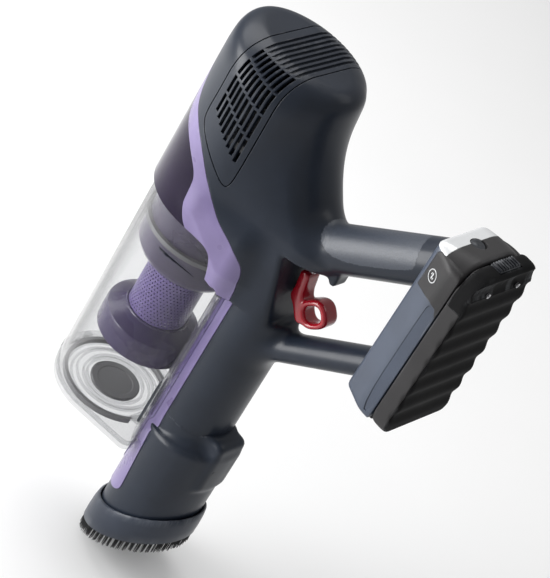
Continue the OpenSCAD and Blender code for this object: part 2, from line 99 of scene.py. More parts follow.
class Nodes:
    """Short hand for building one procedural material"""

    def __init__(self, name):
        self.material = bpy.data.materials.new(name)
        self.material.use_nodes = True
        self.tree = self.material.node_tree
        self.tree.nodes.clear()
        self.out = self.add("ShaderNodeOutputMaterial")
        self.place = self.add("ShaderNodeTexCoord").outputs["Object"]

    def add(self, kind, inputs=None, **props):
        node = self.tree.nodes.new(kind)
        for key, value in props.items():
            setattr(node, key, value)
        for key, value in (inputs or {}).items():
            self.set(node.inputs[key], value)
        return node

    def set(self, socket, value):
        if isinstance(value, bpy.types.NodeSocket):
            self.tree.links.new(value, socket)
        else:
            socket.default_value = value

    def noise(self, scale, detail=3.0, rough=0.55, stretch=None):
        vector = self.place
        if stretch:
            vector = self.add("ShaderNodeMapping", {"Vector": vector, "Scale": stretch}).outputs[0]
        return self.add("ShaderNodeTexNoise", {"Vector": vector, "Scale": scale, "Detail": detail,
                                               "Roughness": rough}).outputs["Fac"]

    def span(self, value, low, high, a=0.0, b=1.0):
        return self.add("ShaderNodeMapRange", {"Value": value, "From Min": low, "From Max": high,
                                               "To Min": a, "To Max": b}).outputs[0]

    def mix(self, factor, a, b):
        node = self.add("ShaderNodeMix", data_type="RGBA")
        for socket, value in zip((node.inputs[0], node.inputs[6], node.inputs[7]), (factor, a, b)):
            self.set(socket, value)
        return node.outputs[2]

    def maths(self, kind, a, b=0.0):
        node = self.add("ShaderNodeMath", operation=kind)
        self.set(node.inputs[0], a)
        self.set(node.inputs[1], b)
        return node.outputs[0]

    def bump(self, height, strength, distance, normal=None):
        node = self.add("ShaderNodeBump", {"Height": height, "Strength": strength, "Distance": distance})
        if normal is not None:
            self.set(node.inputs["Normal"], normal)
        return node.outputs[0]

    def end(self, shader):
        self.tree.links.new(shader, self.out.inputs["Surface"])
        return self.material


def rgb(r, g, b):
    return (r, g, b, 1.0)


def plastic(name, color, rough=0.4, grain=0.2, coat=0.0, worn=(0.5, 0.52, 0.55), wear=0.25, tint=0.12,
            edge=0.0006, shine=0.35):
    """Moulded plastic: uneven tone and gloss, fine grain, soft edges with light wear"""
    n = Nodes(name)
    geometry = n.add("ShaderNodeNewGeometry")
    blotch = n.noise(28.0, 4.0)
    dust = n.noise(240.0, 5.0, 0.7)
    scuff = n.noise(90.0, 6.0, 0.7, (1.0, 1.0, 0.18))
    dark = rgb(*[c * (1 - tint) for c in color])
    light = rgb(*[min(1.0, c * (1 + tint)) for c in color])
    tone = n.mix(n.span(blotch, 0.35, 0.65), dark, light)
    rim = n.span(geometry.outputs["Pointiness"], 0.515, 0.58)
    chips = n.maths("MULTIPLY", rim, n.span(scuff, 0.5, 0.7))
    tone = n.mix(n.maths("MULTIPLY", chips, wear), tone, rgb(*worn))
    gloss = n.maths("ADD", n.span(blotch, 0.3, 0.7, rough - 0.05, rough + 0.05),
                    n.span(scuff, 0.62, 0.8, 0.0, 0.12))
    normal = None
    if edge:
        normal = n.add("ShaderNodeBevel", {"Radius": edge}, samples=4).outputs[0]
    normal = n.bump(dust, grain, 0.00012, normal)
    shader = n.add("ShaderNodeBsdfPrincipled", {
        "Base Color": tone, "Roughness": gloss, "Normal": normal, "Coat Weight": coat,
        "Coat Roughness": 0.12,
        "Specular IOR Level": shine})
    return n.end(shader.outputs[0])


def clear(name, color, rough, veil, veil_color, edge_veil, grain=0.05, rim=0.5):
    """Clear or smoked plastic: mostly see-through, glossy, milky where the wall is seen edge-on"""
    n = Nodes(name)
    smear = n.noise(18.0, 3.0)
    specks = n.noise(420.0, 4.0, 0.7)
    normal = n.bump(n.noise(60.0, 2.0), grain, 0.0004)
    edge = n.add("ShaderNodeLayerWeight", {"Blend": 0.5, "Normal": normal}).outputs["Facing"]
    fresnel = n.maths("ADD", n.maths("MULTIPLY", n.maths("POWER", edge, 5.0), 0.9), 0.014)
    tint = n.mix(n.span(edge, 0.5, 1.0), rgb(*color), rgb(*[c * rim for c in color]))
    through = n.add("ShaderNodeBsdfTransparent", {"Color": tint}).outputs[0]
    body = n.add("ShaderNodeBsdfDiffuse", {"Color": rgb(*veil_color), "Normal": normal}).outputs[0]
    milk = n.maths("MULTIPLY", n.span(edge, 0.35, 1.0, veil, edge_veil), n.span(smear, 0.3, 0.7, 0.75, 1.15))
    milk = n.maths("ADD", milk, n.span(specks, 0.68, 0.8, 0.0, 0.008))
    wall = n.add("ShaderNodeMixShader", {0: milk, 1: through, 2: body}).outputs[0]
    polish = n.span(smear, 0.3, 0.7, rough, rough + 0.06)
    shine = n.add("ShaderNodeBsdfGlossy",
                  {"Color": rgb(1, 1, 1), "Normal": normal, "Roughness": polish}).outputs[0]
    return n.end(n.add("ShaderNodeMixShader", {0: fresnel, 1: wall, 2: shine}).outputs[0])


def metal(name, color, rough, brushed=True):
    n = Nodes(name)
    streak = n.noise(160.0, 4.0, 0.6, (1.0, 1.0, 0.06) if brushed else None)
    stain = n.noise(14.0)
    tone = n.mix(n.span(stain, 0.35, 0.7), rgb(*color), rgb(*[c * 0.8 for c in color]))
    shader = n.add("ShaderNodeBsdfPrincipled", {
        "Base Color": tone, "Metallic": 1.0, "Roughness": n.span(streak, 0.3, 0.7, rough - 0.06, rough + 0.1),
        "Normal": n.bump(streak, 0.25, 0.0001)})
    return n.end(shader.outputs[0])


def pitted(name, color, pit_shade, scale, rough, depth):
    """Foam, paper or textured plastic with cells; the pit colour is painted shade, darker where the cells
    sink
    """
    n = Nodes(name)
    cells = n.add("ShaderNodeTexVoronoi", {"Vector": n.place, "Scale": scale}).outputs["Distance"]
    fibre = n.noise(scale * 0.6, 5.0, 0.7)
    # painted shade: the cell pits take the darker pit colour where the bump sinks
    tone = n.mix(n.span(cells, 0.1, 0.5), rgb(*pit_shade), rgb(*color))
    tone = n.mix(n.span(fibre, 0.4, 0.7, 0.0, 0.3), tone, rgb(*[min(1.0, c * 1.4) for c in color]))
    shader = n.add("ShaderNodeBsdfPrincipled", {
        "Base Color": tone, "Roughness": n.span(fibre, 0.3, 0.7, rough - 0.06, rough + 0.06),
        "Normal": n.bump(n.maths("ADD", cells, fibre), 0.5, depth)})
    return n.end(shader.outputs[0])


BODY = plastic("satin_blue_grey", (0.0120, 0.0165, 0.0265), rough=0.36, grain=0.12, coat=0.07, shine=0.26)
HOLDER = plastic("holder_blue_grey", (0.045, 0.057, 0.084), rough=0.36, grain=0.12, coat=0.1)
COLLAR = plastic("collar_blue_grey", (0.021, 0.027, 0.041), rough=0.36, grain=0.12, coat=0.08, shine=0.28)
LILAC = plastic("satin_lilac", (0.165, 0.132, 0.265), rough=0.30, grain=0.06, coat=0.25, edge=0.0004)
LILAC_DEEP = plastic("deep_lilac", (0.105, 0.082, 0.19), rough=0.28, grain=0.06, coat=0.25, edge=0.0004)
PURPLE = plastic("dark_purple", (0.020, 0.010, 0.055), rough=0.25, grain=0.0, coat=0.2, wear=0.0, edge=0.0004)
BUTTON = plastic("button_dark", (0.014, 0.016, 0.021), rough=0.42, grain=0.25)
RED = plastic("crimson_gloss", (0.27, 0.003, 0.011), rough=0.2, grain=0.04, coat=0.6, worn=(0.6, 0.1, 0.1),
              wear=0.15, tint=0.08, edge=0.0004)
SILVER = plastic("display_silver", (0.62, 0.63, 0.64), rough=0.2, grain=0.04, coat=0.7, worn=(0.3, 0.3, 0.3),
                 tint=0.05, edge=0.0004)
CASE = plastic("case_warm_grey", (0.026, 0.025, 0.026), rough=0.45, grain=0.25, shine=0.25)
BACK_BLACK = plastic("back_rough_black", (0.004, 0.004, 0.0045), rough=0.7, grain=0.9, wear=0.3, shine=0.12)
DARK = plastic("inner_black", (0.010, 0.010, 0.012), rough=0.5, grain=0.3, edge=0.0)
BRISTLE = plastic("bristle_black", (0.008, 0.008, 0.009), rough=0.45, grain=0.2, edge=0.0,
                  worn=(0.1, 0.1, 0.1))
RUBBER = plastic("seal_rubber", (0.17, 0.17, 0.175), rough=0.7, grain=0.3, edge=0.0, worn=(0.3, 0.3, 0.3))
CLEAR = clear("clear_wall", (0.93, 0.932, 0.935), 0.04, 0.004, (0.55, 0.55, 0.56), 0.12)
LID = clear("clear_lid", (0.89, 0.892, 0.895), 0.1, 0.03, (0.36, 0.36, 0.37), 0.12, grain=0.2, rim=0.8)
FROSTED = clear("frosted", (0.50, 0.48, 0.56), 0.25, 0.55, (0.11, 0.095, 0.15), 0.75)
SMOKED = clear("smoked", (0.16, 0.11, 0.24), 0.06, 0.55, (0.018, 0.011, 0.034), 0.75)
STEEL = metal("brushed_steel", (0.60, 0.60, 0.62), 0.28)
BRASS = metal("contact_brass", (0.72, 0.52, 0.22), 0.25, False)
GRIP = pitted("grip_dots", (0.036, 0.043, 0.058), (0.024, 0.028, 0.038), 1100.0, 0.42, 0.00015)
FOAM = pitted("foam_cells", (0.09, 0.09, 0.10), (0.02, 0.02, 0.02), 900.0, 0.9, 0.0008)
PAPER = pitted("filter_cloth", (0.012, 0.012, 0.013), (0.004, 0.004, 0.004), 700.0, 0.9, 0.0004)
DISC = plastic("grey_disc", (0.10, 0.10, 0.105), rough=0.3, grain=0.05, coat=0.4, wear=0.0, edge=0.0)
MESH = plastic("lilac_mesh", (0.10, 0.07, 0.20), rough=0.32, grain=0.05, coat=0.2, wear=0.0, edge=0.0)
BOARD = plastic("solder_mask", (0.012, 0.10, 0.035), rough=0.3, grain=0.3, coat=0.3)
WRAP = plastic("cell_wrap", (0.03, 0.10, 0.34), rough=0.3, grain=0.1, coat=0.3)

SLOTS = {
    "body_plastic": BODY, "collar_plastic": COLLAR, "holder_plastic": HOLDER, "lilac_plastic": LILAC,
    "purple_plastic": PURPLE, "clear_plastic": CLEAR, "frosted_plastic": FROSTED, "smoked_plastic": SMOKED,
    "button_plastic": BUTTON, "rubber_seal": RUBBER, "bristle": BRISTLE, "foam": FOAM, "filter_paper": PAPER,
    "dark_plastic": DARK, "grip_texture": GRIP, "steel": STEEL, "board": BOARD, "contact_metal": BRASS,
    "red_plastic": RED, "display_silver": SILVER, "battery_grey": CASE, "battery_black": BACK_BLACK,
    "cell_wrap": WRAP,
}

for part in frame["record"]["subparts"]:
    node = frame["nodes"][part["node"]]
    node.data.materials.clear()
    node.data.materials.append(SLOTS[part["material_slot"]])

# ---------------------------------------------------------------- mesh tools, in millimetres

MM = 0.001


def make(name, points, faces):
    mesh = bpy.data.meshes.new(name)
    corners = [tuple(float(c) * MM for c in p) for p in points]
    mesh.from_pydata(corners, [], [tuple(map(int, f)) for f in faces])
    mesh.validate()
    piece = bpy.data.objects.new(name, mesh)
    bpy.context.scene.collection.objects.link(piece)
    return piece


def apply(piece):
    """Turns a piece's modifiers into plain mesh"""
    bpy.context.view_layer.update()
    shaped = piece.evaluated_get(bpy.context.evaluated_depsgraph_get())
    mesh = bpy.data.meshes.new_from_object(shaped)
    piece.modifiers.clear()
    piece.data = mesh
    return piece


def cut(piece, tool, kind="DIFFERENCE", keep=False):
    step = piece.modifiers.new("cut", "BOOLEAN")
    step.operation, step.object, step.solver = kind, tool, "MANIFOLD"
    apply(piece)
    if not keep:
        bpy.data.objects.remove(tool)
    return piece


def copy(piece, name):
    twin = bpy.data.objects.new(name, piece.data.copy())
    bpy.context.scene.collection.objects.link(twin)
    return twin


def outward(piece):
    form = bmesh.new()
    form.from_mesh(piece.data)
    bmesh.ops.recalc_face_normals(form, faces=form.faces)
    form.to_mesh(piece.data)
    form.free()
    return piece


def bevel(piece, width, segments=3, angle=30):
    step = piece.modifiers.new("bevel", "BEVEL")
    step.width, step.segments, step.limit_method = width * MM, segments, "ANGLE"
    step.angle_limit = math.radians(angle)
    step.use_clamp_overlap = True
    return apply(piece)


def smooth(piece, angle=32):
    """Smooth shading that keeps edges sharper than the angle"""
    form = bmesh.new()
    form.from_mesh(piece.data)
    for face in form.faces:
        face.smooth = True
    for edge in form.edges:
        edge.smooth = len(edge.link_faces) == 2 and edge.calc_face_angle(0) < math.radians(angle)
    form.to_mesh(piece.data)
    form.free()
    return piece


def settle(piece, body, slot, material=None, replaces=(), angle=32):
    """Gives a finished piece its finish, its CAD body and the nodes it stands for"""
    smooth(piece, angle)
    piece.data.materials.clear()
    piece.data.materials.append(material or SLOTS[slot])
    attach(piece, body)
    if replaces:
        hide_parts(*replaces)
    return piece


def prism(name, outline, low, high, axis="y"):
    """A flat outline pushed along Y (outline in X and Z) or Z (outline in X and Y)"""
    n = len(outline)
    ends = []
    for level in (low, high):
        ends += [(a, level, b) if axis == "y" else (a, b, level) for a, b in outline]
    faces = [list(range(n)), list(range(2 * n - 1, n - 1, -1))]
    faces += [(i, i + n, (i + 1) % n + n, (i + 1) % n) for i in range(n)]
    return outward(make(name, ends, faces))


def rounded(points, times=3, closed=True):
    """Corner cutting: the outline with its corners rounded"""
    for _ in range(times):
        out = []
        count = len(points)
        for i in range(count if closed else count - 1):
            (ax, ay), (bx, by) = points[i], points[(i + 1) % count]
            out.append((ax * 0.75 + bx * 0.25, ay * 0.75 + by * 0.25))
            out.append((ax * 0.25 + bx * 0.75, ay * 0.25 + by * 0.75))
        points = out if closed else [points[0]] + out + [points[-1]]
    return points


def spin(name, profile, centre=(0.0, 0.0), steps=128):
    """A profile of (radius, height) turned about a line along Z. The profile is closed."""
    points, faces, n = [], [], len(profile)
    for i in range(steps):
        a = 2 * math.pi * i / steps
        points += [(centre[0] + r * math.cos(a), centre[1] + r * math.sin(a), z) for r, z in profile]
    for i in range(steps):
        for j in range(n):
            a, b = i * n, ((i + 1) % steps) * n
            faces.append((a + j, b + j, b + (j + 1) % n, a + (j + 1) % n))
    return outward(make(name, points, faces))


def rod(name, radius, low, high, centre=(0.0, 0.0), steps=128):
    return prism(name, [(centre[0] + radius * math.cos(2 * math.pi * i / steps),
                         centre[1] + radius * math.sin(2 * math.pi * i / steps)) for i in range(steps)],
                 low, high, "z")


def block(name, low, high):
    (a, b, c), (d, e, f) = low, high
    return prism(name, [(a, c), (d, c), (d, f), (a, f)], b, e)


def blocks(name, boxes):
    """Several separate boxes in one mesh"""
    points, faces = [], []
    for (a, b, c), (d, e, f) in boxes:
        k = len(points)
        points += [(a, b, c), (d, b, c), (d, e, c), (a, e, c), (a, b, f), (d, b, f), (d, e, f), (a, e, f)]
        faces += [[k + i for i in side] for side in
                  ((3, 2, 1, 0), (4, 5, 6, 7), (0, 1, 5, 4), (1, 2, 6, 5), (2, 3, 7, 6), (3, 0, 4, 7))]
    return make(name, points, faces)


def surface(name, field, low, high, step, relax=2):
    """Closed mesh of the surface where the field is zero: one vertex for each mixed cell, pulled onto it"""
    axes = [np.arange(a - 2 * step, b + 3 * step, step) for a, b in zip(low, high)]
    value = field(*np.meshgrid(*axes, indexing="ij"))
    inside = value < 0
    shape = np.array(inside.shape)
    count = np.zeros(shape - 1, int)
    for i in (0, 1):
        for j in (0, 1):
            for k in (0, 1):
                count += inside[i:shape[0] - 1 + i, j:shape[1] - 1 + j, k:shape[2] - 1 + k]
    mixed = (count > 0) & (count < 8)
    number = np.full(mixed.shape, -1)
    number[mixed] = np.arange(mixed.sum())
    where = np.argwhere(mixed)
    points = np.stack([axes[d][where[:, d]] + step / 2 for d in range(3)], 1)
    quads = []
    for d in range(3):
        a, b = (d + 1) % 3, (d + 2) % 3
        here = [slice(1, s - 1) for s in shape]
        there = list(here)
        here[d], there[d] = slice(0, shape[d] - 1), slice(1, shape[d])
        first, second = inside[tuple(here)], inside[tuple(there)]
        at = np.argwhere(first != second)
        out = first[tuple(at.T)]
        at[:, a] += 1
        at[:, b] += 1
        ring = []
        for da, db in ((-1, -1), (0, -1), (0, 0), (-1, 0)):
            cell = at.copy()
            cell[:, a] += da
            cell[:, b] += db
            ring.append(number[tuple(cell.T)])
        ring = np.stack(ring, 1)
        quads.append(np.where(out[:, None], ring, ring[:, ::-1]))
    quads = np.concatenate(quads)
    edges = np.concatenate([quads[:, [i, (i + 1) % 4]] for i in range(4)])

    def pull(p):
        h = 0.05
        for _ in range(4):
            f = field(*p.T)
            slope = np.stack([(field(*(p + h * e).T) - field(*(p - h * e).T)) / (2 * h)
                              for e in np.eye(3)], 1)
            size = np.maximum((slope ** 2).sum(1), 0.04)
            move = np.clip(f / size, -step, step)[:, None] * slope
            p = p - move
        return p

    points = pull(points)
    for _ in range(relax):
        total, near = np.zeros_like(points), np.zeros(len(points))
        for i, j in ((0, 1), (1, 0)):
            np.add.at(total, edges[:, i], points[edges[:, j]])
            np.add.at(near, edges[:, i], 1)
        points = pull(points * 0.5 + total / near[:, None] * 0.5)
    return make(name, points, quads)


def lower(a, b, k):
    """Smooth union of two fields, with a fillet of about k"""
    h = np.clip(0.5 + 0.5 * (b - a) / k, 0, 1)
    return b * (1 - h) + a * h - k * h * (1 - h)


def upper(a, b, k):
    """Smooth intersection of two fields, with an edge rounded by about k"""
    return -lower(-a, -b, k)


def two_circles(x, y, x1, r1, x2, r2):
    """Distance to the outline drawn tight round two circles on the X axis"""
    h = x2 - x1
    b = (r1 - r2) / h
    a = np.sqrt(1 - b * b)
    u, v = x - x1, np.abs(y)
    k = a * u - b * v
    side = a * v + b * u - r1
    return np.where(k < 0, np.hypot(u, v) - r1, np.where(k > a * h, np.hypot(u - h, v) - r2, side))


# ---------------------------------------------------------------- sizes shared with the CAD

BIN_X, BIN_R, BIN_LOW, BIN_TOP = -62.0, 41.0, 47.0, 210.0
WING_X, WING_Y = -20.0, 28.0
DRUM_R, DRUM_LOW, DRUM_TOP = 44.5, 212.0, 337.0
DUCT_R, DUCT_TOP, NOZZLE_TOP = 24.5, 186.0, 72.0
NOZZLE_X, NOZZLE_R = 5.3, 29.8
GRIP_AXIS, STRUT_AXIS, LEAN = 185.1, 118.1, math.radians(38)
GAP_TOP = 236.3
SHELL = 2.6
SEAM = 0.2
HOOD_BACK, HOOD_R = -50.0, 9.4
SPUR_X, SPUR_LOW, SPUR_HIGH, SPUR_R, SPUR_HALF = 33.5, 236.0, 246.0, 2.6, 6.0


def housing(x, y, z):
    """Motor drum that leans back into the duct below and rounds over at the top"""
    rise = np.clip((z - 246) / 80, 0, 1)
    neck = -53 * rise - 11 * np.sin(np.pi * rise)
    over = np.clip((z - (DRUM_TOP - 24)) / 24, 0, 0.98)
    narrow = 1 - 0.42 * (1 - np.sqrt(1 - over ** 2))
    flat = two_circles(x, y / narrow, BIN_X, DRUM_R, neck, DUCT_R + 13 * rise)
    return upper(flat, z - DRUM_TOP, 13)


def bar(x, y, z, axis, deep, wide):
    """Oval bar that rises towards the battery"""
    q = z * math.cos(LEAN) - x * math.sin(LEAN) - axis
    size = np.sqrt((q / deep) ** 2 + (y / wide) ** 2) + 1e-9
    return (size - 1) * size / np.sqrt((q / deep ** 2) ** 2 + (y / wide ** 2) ** 2 + 1e-9)


def finger_room(x, z, margin=0.0):
    """The space for the fingers between the two bars"""
    wall = 18 - 12 * (z - DUCT_TOP) / (GAP_TOP - DUCT_TOP)
    return upper((wall - margin - x), upper(z - GAP_TOP - margin, DUCT_TOP - z, 1), 3)


def whole_body(x, y, z):
    """Housing, duct, the hoods over the bin's wings, grip with its finger spur, and lower bar"""
    duct = np.maximum(np.hypot(x, y) - DUCT_R, z - DUCT_TOP - 40)
    head = np.maximum(housing(x, y, z), DUCT_TOP - z)
    grip = np.maximum(bar(x, y, z, GRIP_AXIS, 15.3, 16.8), np.maximum(-x - 30, x - 84))
    strut = np.maximum(bar(x, y, z, STRUT_AXIS, 9.3, 12.6), np.maximum(-x, x - 84))
    back = np.clip((x - HOOD_BACK) / (WING_X - HOOD_BACK), 0, 1)
    fade = 9 * np.clip((202 + 24 * (1 - back) - z) / 20, 0, 1)
    hood = np.hypot(x - np.clip(x, HOOD_BACK, WING_X), np.abs(y) - WING_Y - 5.5 * (1 - back)) - HOOD_R + fade
    hood = np.maximum(upper(hood, z - 236, 16), 183 - z)
    form = lower(np.minimum(lower(head, hood, 12), duct), grip, 14)
    form = upper(form, -finger_room(x, z), 3)
    form = lower(form, strut, 9)
    along = np.clip((z - SPUR_LOW) / (SPUR_HIGH - SPUR_LOW), 0, 1)
    spur = np.hypot(x - SPUR_X + 3 * along, np.clip(z, SPUR_LOW, SPUR_HIGH) - z) - SPUR_R - SPUR_R * along
    form = lower(form, upper(spur, np.abs(y) - SPUR_HALF, 2), 4)
    return np.maximum(form, NOZZLE_TOP - z)


# Side lines of the lilac band: its rear edge and its front edge
REAR = [(-110, 345), (-104, 318), (-99, 297), (-91, 279), (-79.5, 272.5), (-65, 262.5), (-49, 244.5),
        (-42, 238), (-33, 231), (-21, 225.5), (-11.5, 218.5), (-7.5, 210), (-7, 196), (-7, 180)]
FRONT = [(-114, 345), (-107, 312), (-103, 285), (-95, 266), (-83, 260.5), (-73, 255), (-62, 246),
         (-60, 236), (-59, 224), (-52, 212), (-40, 206), (-28, 200), (-25, 192), (-25, 180)]


def behind(line, shift=0.0):
    """Side outline of all that lies behind a line down the housing"""
    curve = rounded([(a + shift, b) for a, b in line], 3, False)
    return curve + [(120, 180), (120, 360)]


solid = surface("solid", whole_body, (-108, -46, 71), (86, 46, 338), 1.5)
hollow = surface("hollow", lambda x, y, z: np.maximum(
    upper(housing(x, y, z) + SHELL, -finger_room(x, z, SHELL), 1), DUCT_TOP + 6 - z),
    (-108, -46, 180), (86, 46, 338), 1.8, 1)
skin = surface("skin", lambda x, y, z: np.maximum(housing(x, y, z) + 1.5, 200 - z),
               (-108, -46, 190), (86, 46, 338), 1.6, 1)
cut(solid, hollow)


def bin_prism(name, grow, low, high):
    """The bin's plan: round in front, two wings beside the duct, notched for the duct and the nozzle"""
    outline = [(BIN_X + (BIN_R + grow) * math.cos(a), (BIN_R + grow) * math.sin(a))
               for a in np.linspace(math.radians(82), math.radians(278), 97)]
    wing = [(WING_X + (6 + grow) * math.cos(a), WING_Y + (6 + grow) * math.sin(a))
            for a in np.linspace(math.radians(-15), math.radians(81), 13)]
    outline += [(x, -y) for x, y in reversed(wing)] + wing
    form = prism(name, outline, low, high, "z")
    cut(form, rod("notch", 26.7 - grow, low - 5, high + 5))
    return cut(form, rod("nozzle_notch", NOZZLE_R + 1.4 - grow, low - 5, high + 5, (NOZZLE_X, 0)))


cut(solid, bin_prism("bin_room", 1.0, 60, DRUM_LOW + 0.2))

shell_rear = copy(solid, "body_shell")
shell_band = copy(solid, "lilac_side_band")
shell_cover = solid
shell_cover.name = "smoked_top_cover"

low_part = block("low_part", (-130, -60, 0), (130, 60, DUCT_TOP))
cut(shell_band, copy(low_part, "low_a"))
cut(shell_cover, low_part)
cut(shell_cover, block("cover_low", (-130, -60, 150), (0, 60, DRUM_LOW)))
below_band = rounded([(-150, 150), (-150, DRUM_LOW), (-42, DRUM_LOW), (-29, DRUM_LOW - 1), (-26, 200),
                      (-24.6, 186), (-24.6, 150)], 3)
cut(shell_band, prism("band_low", below_band, -60, 60))
rear_edge = rounded([(a + SEAM, b) for a, b in REAR], 3, False)
cut(shell_rear, prism("front_tool", rear_edge + [(-7, DUCT_TOP), (-140, DUCT_TOP), (-140, 345)], -80, 80))
cut(shell_band, prism("rear_tool", behind(REAR, -SEAM), -80, 80))
cut(shell_band, prism("band_region", behind(FRONT, SEAM), -90, 90), "INTERSECT")
cut(shell_cover, prism("cover_tool", behind(FRONT, -SEAM), -80, 80))
cut(shell_cover, block("button_room", (-112, -9.4, 215.6), (-90, 9.4, 225.4)))

# Exhaust slots, the ribs that carry on over the top, and the groove round the vent
VENT_X, PITCH, LANES, SLOT_HALF, RIB_HALF, BAR_HALF = -70.8, 3.65, 8, 1.15, 1.0, 0.9
slots, ribs = [], []
for lane in range(LANES):
    x, t = VENT_X + lane * PITCH, lane / (LANES - 1)
    # heights of the cross bars between this lane's slots
    levels = [288.8 - 18.5 * t, 303.9 - 14.1 * t, 318.3 - 9.4 * t, 329.6 - 4.4 * t, 335.4]
    for low, high in zip(levels, levels[1:]):
        start = low + (BAR_HALF if low < 320 else 0.2)
        slots.append(((x - SLOT_HALF, -60, start), (x + SLOT_HALF, 60, high - BAR_HALF)))
    ribs.append(((x - RIB_HALF, -60, 334.8), (x + RIB_HALF, 60, 360)))
cut(shell_rear, blocks("slots", slots))
cut(shell_rear, cut(blocks("ribs", ribs), skin, keep=True))


def ring_outline(points, width):
    """Inner and outer outlines beside a closed line"""
    out = []
    n = len(points)
    for side in (-1, 1):
        row = []
        for i in range(n):
            (ax, ay), (bx, by) = points[i - 1], points[(i + 1) % n]
            dx, dy = bx - ax, by - ay
            size = math.hypot(dx, dy) + 1e-9
            reach = side * width / (2 * size)
            row.append((points[i][0] - dy * reach, points[i][1] + dx * reach))
        out.append(row)
    return out


VENT_LINE = rounded([(-42, 400), (-40.6, 330), (-40.2, 270), (-40.4, 254), (-44.5, 252.5), (-52.3, 258.8),
                     (-63.5, 267), (-73.6, 274.5), (-77.6, 281), (-77, 302), (-77.6, 327), (-78.5, 400)], 3)
inner, outer = ring_outline(VENT_LINE, 0.7)
groove = prism("groove", outer, -60, 60)
cut(groove, prism("groove_core", inner, -70, 70))
cut(groove, skin)
cut(shell_rear, groove)


def along_bar(points):
    """Points given along and across the grip, turned into X and Z"""
    return [(a * math.cos(LEAN) - (q + GRIP_AXIS) * math.sin(LEAN),
             a * math.sin(LEAN) + (q + GRIP_AXIS) * math.cos(LEAN)) for a, q in points]


inlay_line = rounded([(172, -3.5), (241, -3.5), (246, 4), (244, 30), (172, 30)], 3)
inlay = copy(shell_rear, "grip_inlay_panel")
cut(inlay, prism("inlay_tool", along_bar(inlay_line), -60, 60), "INTERSECT")
inlay_edge = ring_outline(inlay_line, 0.9)
cut(shell_rear, prism("inlay_hole", along_bar(inlay_edge[1]), -60, 60))
settle(inlay, "root", "grip_texture", GRIP, ("grip_inlay",))

settle(shell_rear, "root", "body_plastic", BODY,
       ("housing_left", "housing_right", "vent_panel_left", "vent_panel_right", "grip_shell_left",
        "grip_shell_right", "duct_tube", "lower_bar"))
settle(shell_band, "root", "lilac_plastic", LILAC, ("lilac_band_left", "lilac_band_right"))
settle(shell_cover, "root", "smoked_plastic", SMOKED, ("smoked_cover",))

# ---------------------------------------------------------------- nozzle, lilac strip and brush


def nozzle_form(x, y, z):
    """Round nozzle that flares from the duct, with the release's ramp behind and a slanted mouth"""
    round_part = upper(np.hypot(x - NOZZLE_X, y) - NOZZLE_R, z - NOZZLE_TOP - 0.12 * x, 4)
    ramp = upper(upper(0.80 * x + 0.6 * z - 81, x - 35.5, 4), np.abs(y) - 12.5, 4)
    neck = np.maximum(np.hypot(x, y) - DUCT_R - 0.1, z - 86)
    flare = lower(round_part, neck, np.clip(0.5 * (x + 8), 0.3, 13))
    form = lower(flare, upper(ramp, upper(z - 88, 48 - z, 4), 4), 5)
    return upper(form, -18 + 0.485 * (x - NOZZLE_X) - 0.875 * z, 1)


nozzle = surface("nozzle", nozzle_form, (-26, -31, -38), (42, 31, 92), 1.3)
cut(nozzle, rod("socket", 17.5, -60, 60))
cut(nozzle, rod("bore", 21.6, 59, 100))
cut(nozzle, rod("duct_room", DUCT_R + 0.25, NOZZLE_TOP, 120))
settle(nozzle, "root", "body_plastic", BODY, ("nozzle_body",))

button_side = rounded([(31, 61), (36, 62), (36.4, 69), (28.5, 83), (27, 83), (27, 61)], 1)
button = prism("release_button", button_side, -9.5, 9.5)
bevel(button, 0.8)
settle(button, "wand_release", "button_plastic", BUTTON, ("wand_button",))


def strip(name, low, high, half, proud, tip):
    """Curved strip down the front of the duct and nozzle, with a round lower tip"""
    points, faces, rows, across = [], [], 90, 28
    for i in range(rows):
        z = low + (high - low) * (i / (rows - 1)) ** 1.6
        width = half(z) * math.sqrt(max(0.0, 1 - max(0.0, 1 - (z - low) / tip) ** 2))
        t = min(1, max(0, (z - 66.5) / 5.5))
        t = t * t * (3 - 2 * t)
        centre, radius = NOZZLE_X * (1 - t), NOZZLE_R * (1 - t) + DUCT_R * t
        for depth in (proud, -0.8):
            for j in range(across + 1):
                a = (2 * j / across - 1) * width / radius
                points.append((centre - (radius + depth) * math.cos(a), (radius + depth) * math.sin(a), z))
    row = 2 * (across + 1)
    for i in range(rows - 1):
        a, b = i * row, (i + 1) * row
        for j in range(across):
            faces.append((a + j, a + j + 1, b + j + 1, b + j))
            k = across + 1
            faces.append((a + k + j, b + k + j, b + k + j + 1, a + k + j + 1))
        faces += [(a, b, b + across + 1, a + across + 1), (a + across, a + row - 1, b + row - 1, b + across)]
    for a in (0, (rows - 1) * row):
        faces += [(a + j, a + j + 1, a + across + 2 + j, a + across + 1 + j) for j in range(across)]
    return outward(make(name, points, faces))


def strip_half(z):
    t = min(1, max(0, (z - 20) / 60))
    return 36.5 - 4.5 * t


settle(strip("lilac_strip", 3, DUCT_TOP + 12, strip_half, 0.5, 14), "root", "lilac_plastic", LILAC,
       ("lilac_trim",))
settle(strip("lilac_strip_face", 14, DUCT_TOP + 11, lambda z: 24.2, 0.95, 60), "root", "lilac_plastic",
       LILAC_DEEP)


def slanted(name, profile, steps=144):
    """A ring profile of (radius, height) swept round the nozzle and slanted like the brush"""
    points, faces, n = [], [], len(profile)
    for i in range(steps):
        a = 2 * math.pi * i / steps
        for r, z in profile:
            points.append((NOZZLE_X + r * math.cos(a), r * math.sin(a), z + r * math.cos(a) * SLANT))
    for i in range(steps):
        for j in range(n):
            a, b = i * n, ((i + 1) % steps) * n
            faces.append((a + j, b + j, b + (j + 1) % n, a + (j + 1) % n))
    return outward(make(name, points, faces))


